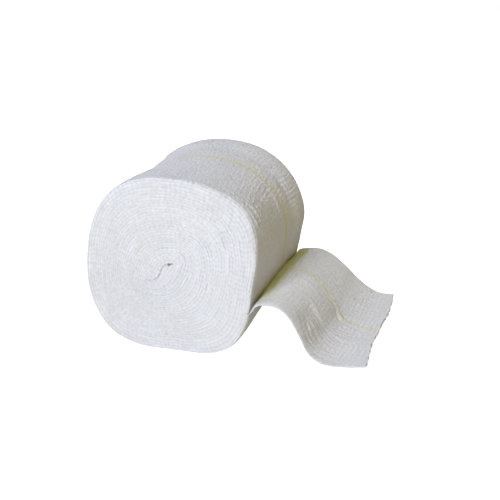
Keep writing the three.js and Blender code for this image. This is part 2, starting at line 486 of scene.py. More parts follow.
    def layer(self, left: np.ndarray, y: np.ndarray, gaps: bool = True) -> np.ndarray:
        """The middle of the cloth's thickness in the winding.

        Args:
            left: Degrees left to wind before the crease, shaped (steps, 1).
            y: Places along the roll, shaped (1, columns) or (steps, columns).
            gaps: Whether turns stand apart at the gaps.

        Returns:
            X and Z, shaped (steps, columns, 2).
        """
        angle = self.leaving_angle(y) + left
        share = self.share(left)
        full = self.surface(angle, y)
        rounded = self.core_radius + (full - self.core_radius) * np.power(share, self.squareness)
        radius = share * rounded + full / self.turns * (self.ease(left, y) - 0.5)
        turn = np.radians(angle)
        tilt = math.radians(self.slit_tilt)
        lean = np.cos(turn - tilt)
        reach = self.slit_reach * np.power(1 - np.minimum(share, 1), self.slit_fade) * lean
        bow = self.slit_bow * np.power(1 - share, self.bow_fade) * np.sin(math.pi * lean)
        if gaps:
            radius = radius + self.standing_apart(left / TURN, angle)
        x = self.eye[0] + (self.axis[0] - self.eye[0]) * share + radius * np.cos(turn)
        z = self.eye[1] + (self.axis[1] - self.eye[1]) * share + radius * np.sin(turn)
        x = x + reach * math.cos(tilt) - bow * math.sin(tilt)
        z = z + reach * math.sin(tilt) + bow * math.cos(tilt)
        return np.stack(np.broadcast_arrays(x, z), axis=-1)

    def standing_apart(self, below: np.ndarray, angle: np.ndarray) -> np.ndarray:
        """How far turns are pushed out above a gap and in below it.

        Args:
            below: Turns below the surface.
            angle: Degrees about the axis.

        Returns:
            The push along the radius.
        """
        push = 0.0
        for gap in self.gaps:
            away = np.mod(angle - gap.angle + TURN / 2, TURN) - TURN / 2
            window = np.exp(-np.square(away / gap.half) * self.gap_focus)
            side = np.tanh((gap.below - below) / self.gap_edge)
            push = push + gap.width / 2 * window * side * np.exp(-np.abs(gap.below - below) / self.gap_fade)
        return push

    def normals(self, left: np.ndarray, y: np.ndarray) -> np.ndarray:
        """Outward directions of the cloth.

        Args:
            left: Degrees left to wind.
            y: Places along the roll.

        Returns:
            Unit vectors in X and Z, shaped as layer() shapes its points.
        """
        step = 0.4
        ahead = self.layer(left - step, y, gaps=False) - self.layer(left + step, y, gaps=False)
        ahead /= np.linalg.norm(ahead, axis=-1, keepdims=True)
        return np.stack([-ahead[..., 1], ahead[..., 0]], axis=-1)

    def halves(self, left: np.ndarray, y: np.ndarray) -> tuple[np.ndarray, np.ndarray]:
        """Inner and outer half of one turn's thickness, which reach its neighbours and a little into them.

        Args:
            left: Degrees left to wind, shaped (steps, 1).
            y: Places along the roll.

        Returns:
            Both halves, each shaped (steps, columns).
        """
        normal = self.normals(left, y)
        here = self.layer(left, y)
        inner = np.minimum(left + TURN, self.wound)
        outer = np.maximum(left - TURN, 0)
        inward = np.sum((here - self.layer(inner, y)) * normal, axis=-1)
        outward = np.sum((self.layer(outer, y) - here) * normal, axis=-1)
        inward = np.where(left + TURN > self.wound, outward, inward)
        outward = np.where(left < TURN, np.minimum(inward, self.outer_room), outward)
        low, high = self.half_limits
        return np.clip(self.packing * inward / 2, low, high), np.clip(self.packing * outward / 2, low, high)

    def pressed(self, angle: np.ndarray) -> np.ndarray:
        """1 on the lower left, where the roll's weight presses its rim square, falling to 0 beside it."""
        round_roll = np.mod(angle, TURN)
        return smoothstep(round_roll, *self.press_from) * (1 - smoothstep(round_roll, *self.press_to))

    def at_rim(self, below: np.ndarray, share: np.ndarray, y: np.ndarray) -> np.ndarray:
        """Draw the turns in at both ends, where the rim is rounded and the folds lie a little unevenly.

        Args:
            below: Depth of each point under the surface.
            share: Share of the full radius.
            y: Place along the roll before the rim is rounded.

        Returns:
            The place along the roll.
        """
        spare = np.clip(self.rim - below, 0, self.rim)
        recess = self.rim - np.sqrt(self.rim**2 - spare**2)
        sunk = recess + self.terrace_curve.column("sunk", share)
        return y - np.sign(y) * sunk * np.power(np.abs(y) / self.half, self.sink_reach)


def closed_tube(
    name: str, places: np.ndarray, along: np.ndarray, section: Section, marks: dict[str, np.ndarray]
) -> bpy.types.Mesh:
    """Make a mesh of a tube of cloth: a flat grid, laid round the section and along the band.

    Args:
        name: Name of the mesh.
        places: Where each point goes in millimetres, shaped (steps, columns, 3).
        along: Place of each point along the band, shaped (steps, columns).
        section: The section, whose columns the places follow.
        marks: Point attributes by name, each shaped (steps, columns).

    Returns:
        A closed mesh with the UV map cloth, in metres along and round the tube.
    """
    steps, columns = places.shape[0] - 1, places.shape[1] - 1
    bm = bmesh.new()
    bmesh.ops.create_grid(bm, x_segments=steps, y_segments=columns, size=0.5)
    mesh = bpy.data.meshes.new(name)
    bm.to_mesh(mesh)
    bm.free()
    flat = np.empty(len(mesh.vertices) * 3)
    mesh.vertices.foreach_get("co", flat)
    flat = flat.reshape(-1, 3)
    step = np.rint((flat[:, 0] + 0.5) * steps).astype(int)
    column = np.rint((flat[:, 1] + 0.5) * columns).astype(int)
    mesh.vertices.foreach_set("co", (places[step, column] * MM).ravel())
    for mark, values in marks.items():
        mesh.attributes.new(mark, "FLOAT", "POINT").data.foreach_set("value", values[step, column])
    corner = np.empty(len(mesh.loops), dtype=np.int32)
    mesh.loops.foreach_get("vertex_index", corner)
    cloth = np.stack([along[step, column], section.round[column]], axis=-1) * MM
    mesh.uv_layers.new(name="cloth").data.foreach_set("uv", cloth[corner].ravel())
    sew_shut(mesh)
    return mesh


def sew_shut(mesh: bpy.types.Mesh) -> None:
    """Merge the tube's meeting edges, close both ends and turn all faces outwards.

    Args:
        mesh: The open tube, which is closed in place.
    """
    bm = bmesh.new()
    bm.from_mesh(mesh)
    bmesh.ops.remove_doubles(bm, verts=bm.verts, dist=1e-6)
    rims = [edge for edge in bm.edges if edge.is_boundary]
    bmesh.ops.holes_fill(bm, edges=rims, sides=0)
    ends = [face for face in bm.faces if len(face.verts) > 4]
    bmesh.ops.triangulate(bm, faces=ends)
    bmesh.ops.recalc_face_normals(bm, faces=bm.faces)
    for face in bm.faces:
        face.smooth = True
    for edge in rims:
        edge.smooth = False
    bm.to_mesh(mesh)
    bm.free()


def put_in_scene(
    mesh: bpy.types.Mesh, material: bpy.types.Material, nodes: Sequence[str]
) -> bpy.types.Object:
    """Link a piece that rides on the one body and stands for CAD nodes.

    Args:
        mesh: The finished mesh, in its place.
        material: Its finish.
        nodes: The nodes that it stands for.

    Returns:
        The new object.
    """
    piece = bpy.data.objects.new(mesh.name, mesh)
    bpy.context.collection.objects.link(piece)
    mesh.materials.append(material)
    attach(piece, "root")
    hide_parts(*nodes)
    logger.info("%s: %d faces", piece.name, len(mesh.polygons))
    return piece


class Stretch(Enum):
    """The stretches that the wound cloth is made in, each named by its piece."""

    INNER = "inner_turns"
    MIDDLE = "middle_turns"
    OUTER = "outer_turn"


@dataclass
class WoundTurns:
    """The wound turns: one long spiral of flattened tube, made in three stretches."""

    form: RollForm
    relief: KnitRelief
    step: float = 0.7  # a quarter of a course, so that each gets its crest and its gap
    bead: float = 0.28
    shoulder: float = 2.6  # how far in from the fold the outer turn begins to round over
    waver: float = 0.13  # how unevenly the folds lie at the ends of the roll
    slit_floor: float = 0.962  # share of the half width within which the eye's slit is pressed shut
    slit_press: float = 0.7
    squared: float = 1.9  # how much less the rim is drawn in where it is pressed square
    plump_least: float = 0.06
    plump_reach: float = 40.0  # power by which the courses are plump at the folds alone
    waver_length: float = 31.0
    waver_reach: float = 10.0  # power by which the waver keeps to the ends of the roll
    fold_zone: tuple[float, float] = (2.4, 0.6)  # how far in from the folds the wall's relief dies out
    steep: float = 34.0  # angle of the right shoulder, where the cloth turns away from the light
    rounding: float = 1.4  # how far beyond the fold the rounding over would end
    unrounded: float = 0.75  # share of it that is undone where the rim is pressed square
    thinned: float = 0.5  # share of the outer turn's thickness that is gone at the near end's crease
    thinned_span: float = 9.0  # degrees over which it comes back
    thinned_zone: tuple[float, float] = (-50.0, -34.0)  # where the near end gives way to the rest
    fibres_least: float = 0.4
    fibres_zone: tuple[float, float] = (16.0, 42.0)  # angles between which the fibres begin to stand up
    ribs: tuple[float, float] = (0.25, 1.2)  # their strength on the barrel, and more on the shoulder
    ribs_zone: tuple[float, float] = (-8.0, 20.0)  # where they weaken towards the far end
    courses: tuple[float, float] = (0.45, 2.0)  # their strength on the barrel, and more on the shoulder
    line_on_barrel: tuple[LineRow, ...] = (
        LineRow(place=-26, y=12.0),
        LineRow(place=-14, y=11.2),
        LineRow(place=5, y=9.8),
        LineRow(place=15, y=10.9),
        LineRow(place=25, y=11.2),
        LineRow(place=35, y=9.7),
        LineRow(place=48, y=7.8),
        LineRow(place=60, y=6.9),
        LineRow(place=71, y=4.6),
        LineRow(place=80, y=2.8),
        LineRow(place=92, y=1.8),
        LineRow(place=101, y=0.4),
        LineRow(place=112, y=0.6),
        LineRow(place=180, y=-2.0),
        LineRow(place=260, y=3.0),
        LineRow(place=334, y=2.0),
    )
    ridges: tuple[WrinkleRow, ...] = (
        WrinkleRow(run=47, y=33.0, length=9, width=1.3, height=0.52, skew=0.0),
        WrinkleRow(run=46, y=28.3, length=10, width=1.4, height=0.75, skew=0.02),
        WrinkleRow(run=50, y=18.5, length=8, width=1.6, height=0.45, skew=0.0),
        WrinkleRow(run=47, y=3.0, length=8, width=1.5, height=0.75, skew=0.0),
        WrinkleRow(run=49, y=-9.5, length=7, width=1.6, height=0.6, skew=-0.04),
        WrinkleRow(run=46, y=-24.8, length=10, width=2.0, height=0.83, skew=-0.08),
        WrinkleRow(run=51, y=-33.0, length=9, width=1.4, height=0.52, skew=-0.06),
        WrinkleRow(run=49, y=-40.0, length=10, width=1.5, height=0.75, skew=-0.1),
        WrinkleRow(run=50, y=-46.5, length=9, width=1.3, height=0.52, skew=-0.1),
    )

    def __post_init__(self) -> None:
        """Measure the spiral and mark it off in even steps from the eye to the crease."""
        fine = np.linspace(self.form.wound, 0, int(self.form.wound) + 1)
        middle = self.form.layer(fine[:, None], np.zeros((1, 1)))[:, 0]
        length = np.concatenate([[0.0], np.cumsum(np.linalg.norm(np.diff(middle, axis=0), axis=1))])
        steps = round(length[-1] / self.step)
        self.run = np.linspace(0, length[-1], steps + 1)
        self.left = np.interp(self.run, length, fine)
        self.line_curve = SmoothTable(self.line_on_barrel, "place")

    @property
    def length(self) -> float:
        """Length of the wound cloth in millimetres."""
        return float(self.run[-1])

    def part(self, stretch: Stretch) -> tuple[slice, Section]:
        """Choose the steps of one stretch, and a section as fine as what shows of it.

        Args:
            stretch: The stretch.

        Returns:
            Its steps in the spiral, and its section.
        """
        width = self.form.band_width
        deep = int(np.searchsorted(-self.left, -7 * TURN))
        last = int(np.searchsorted(-self.left, -TURN))
        match stretch:
            case Stretch.INNER:
                wall = np.linspace(-1, 1, 3)
                within = np.array([-1, -self.slit_floor, 0, self.slit_floor, 1])
                return slice(0, deep + 1), Section.flattened(width, self.bead, wall, within, 6)
            case Stretch.MIDDLE:
                wall = np.linspace(-1, 1, 9)
                return slice(deep, last + 1), Section.flattened(width, self.bead, wall, wall, 6)
            case Stretch.OUTER:
                rounded = np.linspace(0.94, 1, 8)
                wall = np.concatenate([-rounded[::-1], np.linspace(-0.93, 0.93, 127), rounded])
                return slice(last, None), Section.flattened(width, self.bead, wall, np.linspace(-1, 1, 23), 8)

    def line_offset(self, left: np.ndarray, section: Section, drawn: np.ndarray) -> np.ndarray:
        """Distance of each point to the yellow line, which is knitted in the outer wall alone."""
        angle = self.form.leaving_angle(drawn) + left
        return keep_on_outer_wall(drawn - self.line_curve.column("y", angle), section)

    def build(self, stretch: Stretch) -> bpy.types.Mesh:
        """Lay one stretch of the tube into the spiral.

        Args:
            stretch: The stretch.

        Returns:
            Its closed mesh.
        """
        steps, section = self.part(stretch)
        left, run = self.left[steps, None], self.run[steps, None]
        form, relief = self.form, self.relief
        across = section.across[None, :]
        squared = self.squared * form.pressed(form.leaving_angle(across) + left)
        below = form.depth(left, across) - WALL_DEPTH * section.lift + squared
        drawn = form.at_rim(below, form.share(left), across)
        middle = form.layer(left, drawn)
        normal = form.normals(left, drawn)
        inner, outer = form.halves(left, drawn)
        angle = form.leaving_angle(drawn) + left
        if stretch is Stretch.OUTER:
            outer = outer * self.rounded_over(across, angle) * self.tapered(left, drawn)
        if stretch is Stretch.INNER:
            first = smoothstep(left, form.wound - 1.1 * TURN, form.wound - 0.9 * TURN)
            inner = inner + self.slit_press * first * (np.abs(across) < (self.slit_floor + 0.01) * form.half)
        crest = relief.ridge(run)
        plump = self.plump_least + relief.plump * np.power(np.abs(across) / form.half, self.plump_reach)
        height = section.lift * (np.where(section.lift > 0, outer, inner) + plump * (crest - 0.5))
        if stretch is Stretch.OUTER:
            knit = relief.wall(run, across, self.raked(angle, drawn), self.tight(angle))
            knit = knit + raised_by(self.ridges, self.run[-1] - run, drawn)
            height = height + np.clip(section.lift, 0, 1) * knit * self.off_fold(across)
        edge = np.power(np.abs(across) / form.half, self.waver_reach)
        ends = np.where(across < 0, 1.0, 2.0)
        lie = self.waver * edge * Unevenness(61).at(run / self.waver_length, ends * 7.3)
        fold = section.fold * relief.knuckles(run, 71) + np.sign(across) * lie
        x = middle[..., 0] + normal[..., 0] * height
        z = middle[..., 1] + normal[..., 1] * height
        places = np.stack([x, drawn + fold, np.maximum(z, 0)], axis=-1)
        shown = stretch is Stretch.OUTER
        marks = {
            # The crest mark paints shade in the gaps between the courses, through the cloth's colour.
            "crest": np.broadcast_to(crest, x.shape),
            "line_offset": self.line_offset(left, section, drawn) if shown else np.full_like(x, FAR_OFF),
            "fuzz": section.fuzz * self.worn(angle),
            "line_dye_and_highlight": np.ones_like(x),
        }
        return closed_tube(stretch.value, places, np.broadcast_to(run, x.shape), section, marks)

    def rounded_over(self, across: np.ndarray, angle: np.ndarray) -> np.ndarray:
        """Share of the outer turn's thickness that is left where it rounds over towards its folds.

        Args:
            across: Place across the band.
            angle: Degrees about the axis.

        Returns:
            The share, nearer 1 where the roll's weight presses it square.
        """
        share = smoothstep(np.abs(across), self.form.half - self.shoulder, self.form.half + self.rounding)
        return 1 - share * (1 - self.unrounded * self.form.pressed(angle))

    def tapered(self, left: np.ndarray, y: np.ndarray) -> np.ndarray:
        """Share of the outer turn's thickness that is left next to the crease, at its near end."""
        close = np.exp(-left / self.thinned_span)
        return 1 - self.thinned * close * (1 - smoothstep(y, *self.thinned_zone))

    def worn(self, angle: np.ndarray) -> np.ndarray:
        """Share of the loose fibres that stand up: few on the right side, most on top."""
        stood_up = smoothstep(np.mod(angle + 60, TURN) - 60, *self.fibres_zone)
        return self.fibres_least + (1 - self.fibres_least) * stood_up

    def off_fold(self, across: np.ndarray) -> np.ndarray:
        """1 over the walls, falling to 0 at the folds."""
        begins, ends = self.fold_zone
        return 1 - smoothstep(np.abs(across), self.form.half - begins, self.form.half - ends)

    def raked(self, angle: np.ndarray, y: np.ndarray) -> np.ndarray:
        """How strongly the lengthwise ribs stand up on the barrel.

        Args:
            angle: Degrees about the axis.
            y: Place along the roll.

        Returns:
            0.25 on the plain barrel, up to 1.45 on its right shoulder.
        """
        near = 1 - smoothstep(y, *self.ribs_zone)
        plain, more = self.ribs
        return plain + more * self.on_shoulder(angle, 17) * (0.5 + 0.5 * near)

    def on_shoulder(self, angle: np.ndarray, reach: float) -> np.ndarray:
        """1 on the barrel's right shoulder, falling to 0 beside it."""
        return np.exp(-np.square((np.mod(angle + TURN / 2, TURN) - TURN / 2 - self.steep) / reach))

    def tight(self, angle: np.ndarray) -> np.ndarray:
        """How strongly the courses stand up on the barrel, most on its right shoulder."""
        plain, more = self.courses
        return plain + more * self.on_shoulder(angle - 5, 22)


@dataclass
class FreeEnd:
    """The loose end: round the tight crease, over its hump and flat to the ragged cut."""

    form: RollForm
    relief: KnitRelief
    turns: WoundTurns
    layer: float = 1.6  # thickness of the flattened tube
    wall: float = 0.72  # thickness of one of its walls
    crease: float = 9.0  # length that is marked off finely, round the crease
    bead: float = 0.62
    drift: float = 8.9  # how far the cloth has gone to the far side by its cut
    drift_growth: float = 2.6  # power by which it drifts
    mouth: float = 3.0  # depth of the open mouth at the cut
    pinch: float = 0.28  # how much flatter the cloth is at its folds, in half thickness
    settling: float = 15.0  # length over which the folds leave the roll's rounded rim
    # Painted highlight: the yellow line, one yarn with that on the roll, is painted paler on the loose end,
    # as if washed out by its brighter light.
    line_dye_and_highlight: float = 0.55  # strength of the yellow line, as a share of that on the roll
    frayed: float = 3.0  # length over which the cut frays
    fray: tuple[float, float] = (0.35, 0.25)  # how unevenly, in long waves and in short ones
    steps: tuple[int, int] = (26, 124)  # round the crease, and from there to the cut
    columns: int = 141
    handover: float = 5.0  # length over which the outer turn's thickness gives way to its own
    pinch_early: float = 0.14  # how much flatter still the near fold is, next to the roll
    pinch_zone: tuple[float, float] = (8.0, 26.0)
    pinch_reach: float = 14.0  # power by which the pinch keeps to the folds
    plump: float = 0.08  # how much thicker a course is than a gap
    folds_zone: tuple[float, float] = (4.0, 12.0)  # where the wrinkles may begin
    crease_zone: tuple[float, float] = (-52.0, -30.0)  # where the near end gives way to the rest
    fibres: float = 0.6  # strength of the loose fibres
    crease_size: tuple[float, float] = (0.42, 0.18)  # in layers: at the near end, and its gain past it
    falls: tuple[tuple[float, float], ...] = ((0.0, 0.0), (0.6, 0.0), (1.05, 0.5), (0.6, 1.1))  # round it
    rows: tuple[LengthRow, ...] = (
        LengthRow(near_x=42.0, near_z=32.6, middle_x=43.8, middle_z=32.4, far_x=41.9, far_z=31.1),
        LengthRow(near_x=47.3, near_z=34.4, middle_x=51.0, middle_z=32.4, far_x=47.8, far_z=32.2),
        LengthRow(near_x=55.6, near_z=33.1, middle_x=58.5, middle_z=30.3, far_x=55.0, far_z=32.5),
        LengthRow(near_x=61.1, near_z=28.5, middle_x=64.4, middle_z=25.6, far_x=62.5, far_z=29.6),
        LengthRow(near_x=67.0, near_z=18.0, middle_x=71.7, middle_z=17.0, far_x=71.5, far_z=22.5),
        LengthRow(near_x=71.8, near_z=8.1, middle_x=76.9, middle_z=9.0, far_x=79.7, far_z=14.1),
        LengthRow(near_x=77.4, near_z=3.0, middle_x=82.6, middle_z=4.0, far_x=87.0, far_z=7.9),
        LengthRow(near_x=84.8, near_z=0.8, middle_x=90.2, middle_z=1.2, far_x=94.3, far_z=4.0),
        LengthRow(near_x=104.6, near_z=0.8, middle_x=105.0, middle_z=0.8, far_x=105.8, far_z=2.6),
    )
    cuts: tuple[CutRow, ...] = (
        CutRow(across=0.0, short=1.2),
        CutRow(across=0.2, short=2.5),
        CutRow(across=0.34, short=3.0),
        CutRow(across=0.42, short=2.3),
        CutRow(across=0.55, short=2.2),
        CutRow(across=0.72, short=0.9),
        CutRow(across=0.88, short=1.3),
        CutRow(across=1.0, short=2.5),
    )
    line: tuple[LineRow, ...] = (
        LineRow(place=0.0, y=12.0),
        LineRow(place=0.14, y=10.8),
        LineRow(place=0.25, y=9.6),
        LineRow(place=0.41, y=9.0),
        LineRow(place=0.49, y=6.0),
        LineRow(place=0.55, y=3.0),
        LineRow(place=0.63, y=1.2),
        LineRow(place=0.8, y=1.0),
        LineRow(place=0.9, y=-2.6),
        LineRow(place=1.0, y=-6.0),
    )
    wrinkles: tuple[WrinkleRow, ...] = (
        WrinkleRow(run=47, y=4.5, length=8, width=2.2, height=0.4, skew=-0.6),
        WrinkleRow(run=50, y=-0.5, length=6, width=1.7, height=-0.5, skew=-0.8),
        WrinkleRow(run=44, y=-19, length=22, width=3.2, height=0.3, skew=-0.04),
        WrinkleRow(run=46, y=-33, length=22, width=3.0, height=0.28, skew=0.02),
        WrinkleRow(run=42, y=-26, length=20, width=3.0, height=-0.25, skew=0.0),
        WrinkleRow(run=24, y=-4, length=12, width=4.0, height=0.3, skew=0.2),
        WrinkleRow(run=70, y=-20, length=12, width=5.0, height=0.3, skew=0.1),
    )

    def guide(self, y: np.ndarray, drawn: np.ndarray) -> np.ndarray:
        """Points that the cloth's middle passes, from the crease to the cut.

        Args:
            y: Places across the band.
            drawn: The same places where the folds are drawn in at the roll's rim.

        Returns:
            X and Z, shaped (points, columns, 2).
        """
        root = self.form.layer(np.zeros((1, 1)), drawn)[0]
        turn = np.radians(self.form.leaving_angle(drawn))[0]
        out = np.stack([np.cos(turn), np.sin(turn)], axis=-1)
        down = np.stack([np.sin(turn), -np.cos(turn)], axis=-1)
        least, gain = self.crease_size
        size = self.layer * (least + gain * smoothstep(y, *self.crease_zone))[0][:, None]
        points = [root + size * (fall * down + clear * out) for fall, clear in self.falls]
        share = y[0] / self.form.half
        for row in self.rows:
            x = across_band(share, row.near_x, row.middle_x, row.far_x)
            z = across_band(share, row.near_z, row.middle_z, row.far_z)
            points.append(np.stack([x, z], axis=-1))
        return np.array(points)

    def curve(self, guide: np.ndarray, fine: int = 40) -> tuple[np.ndarray, np.ndarray]:
        """A smooth curve through the guide points of every column.

        Args:
            guide: Shaped (points, columns, 2).
            fine: Samples in each span.

        Returns:
            Samples shaped (samples, columns, 2), and the length up to each, shaped (samples, columns).
        """
        before = 2 * guide[:1] - guide[1:2]
        after = 2 * guide[-1:] - guide[-2:-1]
        knots = np.concatenate([before, guide, after])
        gap = np.sqrt(np.linalg.norm(np.diff(knots, axis=0), axis=-1, keepdims=True))
        t = np.linspace(0, 1, fine, endpoint=False)[:, None, None]
        samples = []
        for i in range(1, len(knots) - 2):
            p0, p1, p2, p3 = knots[i - 1 : i + 3]
            g0, g1, g2 = gap[i - 1 : i + 2]
            start = g1 * ((p1 - p0) / g0 - (p2 - p0) / (g0 + g1)) + (p2 - p1)
            end = g1 * ((p3 - p2) / g2 - (p3 - p1) / (g1 + g2)) + (p2 - p1)
            cubic = (2 * t**3 - 3 * t**2 + 1) * p1 + (t**3 - 2 * t**2 + t) * start
            samples.append(cubic + (3 * t**2 - 2 * t**3) * p2 + (t**3 - t**2) * end)
        samples.append(guide[-1:])
        line = np.concatenate(samples)
        steps = np.linalg.norm(np.diff(line, axis=0), axis=-1)
        return line, np.concatenate([np.zeros((1, line.shape[1])), np.cumsum(steps, axis=0)])

    def marked_off(self, full: np.ndarray, short: np.ndarray, section: Section) -> np.ndarray:
        """Mark the cloth off from the crease to its frayed cut.

        Args:
            full: Length of each column before it is cut.
            short: How far short of that it is cut.
            section: The tube's section.

        Returns:
            Places along the cloth, shaped (steps, columns).
        """
        bend = np.linspace(0, 1, self.steps[0] + 1)[:-1]
        rest = np.linspace(0, 1, self.steps[1])
        first = self.crease * bend[:, None] + 0 * full
        last = self.crease + (full - short - self.crease) * rest[:, None]
        run = np.concatenate([first, last])
        ragged = Unevenness(83, 14)
        across, lift = section.across[None, :], section.lift[None, :]
        long, short_waves = self.fray
        fray = long * ragged.at(across / 7, 0.3 * lift) + short_waves * ragged.at(across / 2.1, lift)
        return run + fray * smoothstep(run, full - short - self.frayed, full - short)

    def heading(self, line: np.ndarray, length: np.ndarray, place: np.ndarray) -> np.ndarray:
        """Direction of the cloth in X and Z.

        Args:
            line: Samples of every column's curve.
            length: Length up to each sample.
            place: Places along the cloth.

        Returns:
            Unit vectors, shaped (steps, columns, 2).
        """
        step = 0.2
        ahead = np.stack([self.read(line[..., i], length, place + step) for i in (0, 1)], axis=-1)
        behind = np.stack([self.read(line[..., i], length, place - step) for i in (0, 1)], axis=-1)
        tangent = ahead - behind
        return tangent / np.linalg.norm(tangent, axis=-1, keepdims=True)

    def half_thickness(self, place: np.ndarray, across: np.ndarray, drawn: np.ndarray) -> np.ndarray:
        """Half the tube's thickness: the outer turn's at the crease, then its own, pinched at the folds.

        Args:
            place: Places along the cloth.
            across: Places across it.
            drawn: The same where the folds are drawn in at the roll's rim.

        Returns:
            The half thickness at each point.
        """
        form, turns, start = self.form, self.turns, np.zeros((1, 1))
        rounded = turns.rounded_over(across, form.leaving_angle(drawn))
        outer_half = form.halves(start, drawn)[1] * rounded * turns.tapered(start, drawn)
        early = self.pinch_early * (1 - smoothstep(place, *self.pinch_zone)) * (across < 0)
        at_folds = np.power(np.abs(across) / form.half, self.pinch_reach)
        pinched = self.layer / 2 - (self.pinch + early) * at_folds
        return pinched + (outer_half - pinched) * (1 - smoothstep(place, 0, self.handover))

    def build(self) -> bpy.types.Mesh:
        """Lay the tube along its curves and open its mouth at the cut.

        Returns:
            The closed mesh.
        """
        form, relief, wound = self.form, self.relief, self.turns.length
        columns = np.linspace(-1, 1, self.columns)
        section = Section.flattened(form.band_width, self.bead, columns, columns, 8)
        across = section.across[None, :]
        below = form.depth(np.zeros((1, 1)), across) - WALL_DEPTH * section.lift
        drawn = form.at_rim(below, np.ones((1, 1)), across)
        line, length = self.curve(self.guide(across, drawn))
        full = length[-1]
        short = SmoothTable(self.cuts, "across").column("short", across[0] / form.band_width + 0.5)
        run = self.marked_off(full, short, section)
        deepest = full - short - self.mouth
        place = np.concatenate([run, np.stack([run[-1], deepest, deepest - 0.5])])
        tangent = self.heading(line, length, place)
        crest = relief.ridge(wound + place)
        half = self.half_thickness(place, across, drawn)
        thick = section.lift * (half + self.plump * (crest - 0.5))
        thick[-3:] = section.lift * (self.layer / 2 - self.wall) * np.array([[1.0], [1.0], [0.0]])
        knit = relief.wall(wound + place, across, self.raked(place, across), self.tight(place))
        folded = smoothstep(place, *self.folds_zone) * raised_by(self.wrinkles, place, across)
        height = thick + self.turns.off_fold(across) * knit * (section.lift > 0) + folded
        height[-2:] = (thick + folded)[-2:]
        share = np.clip(1 - (full - place) / np.mean(full), 0, 1)
        left_roll = 1 - smoothstep(place, 0, self.settling)
        y = across + (drawn - across) * left_roll + self.drift * np.power(share, self.drift_growth)
        y = y + section.fold * relief.knuckles(wound + place, 73)
        y[-3:] -= section.fold * self.wall * 0.8
        x = self.read(line[..., 0], length, place) - tangent[..., 1] * height
        z = self.read(line[..., 1], length, place) + tangent[..., 0] * height
        places = np.stack([x, y, np.maximum(z, 0)], axis=-1)
        away = across - SmoothTable(self.line, "place").column("y", place / full)
        marks = {
            # The crest mark paints shade in the gaps between the courses, through the cloth's colour.
            "crest": crest,
            "line_offset": keep_on_outer_wall(away, section),
            "fuzz": np.broadcast_to(self.fibres * section.fuzz, x.shape),
            # Painted highlight: the yellow line is painted paler here than on the roll.
            "line_dye_and_highlight": np.full_like(x, self.line_dye_and_highlight),
        }
        self.rim = places[-4], tangent[-4]
        return closed_tube("free_end", places, wound + place, section, marks)

    @staticmethod
    def read(values: np.ndarray, length: np.ndarray, place: np.ndarray) -> np.ndarray:
        """Read each column's values at places along that column.

        Args:
            values: Shaped (samples, columns).
            length: Length up to each sample, shaped as values.
            place: Lengths to read at, shaped (steps, columns).

        Returns:
            The values, shaped as place.
        """
        columns = [np.interp(place[:, i], length[:, i], values[:, i]) for i in range(place.shape[1])]
        return np.stack(columns, axis=-1)

    @staticmethod
    def raked(run: np.ndarray, y: np.ndarray) -> np.ndarray:
        """How strongly the lengthwise ribs stand up on the loose end.

        Args:
            run: Places along it.
            y: Places across it.

        Returns:
            0.6 on the hump and the flat, up to 1.4 on the slope.
        """
        slope = smoothstep(run, 20, 30) * (1 - smoothstep(run, 58, 70))
        near = 1 - smoothstep(y, -14, 22)
        return 0.6 + 0.8 * slope * (0.25 + 0.75 * near)

    @staticmethod
    def tight(run: np.ndarray) -> np.ndarray:
        """How strongly the courses stand up on the loose end, most at its foot."""
        return 0.28 + 0.45 * np.exp(-np.square((run - 58) / 9))


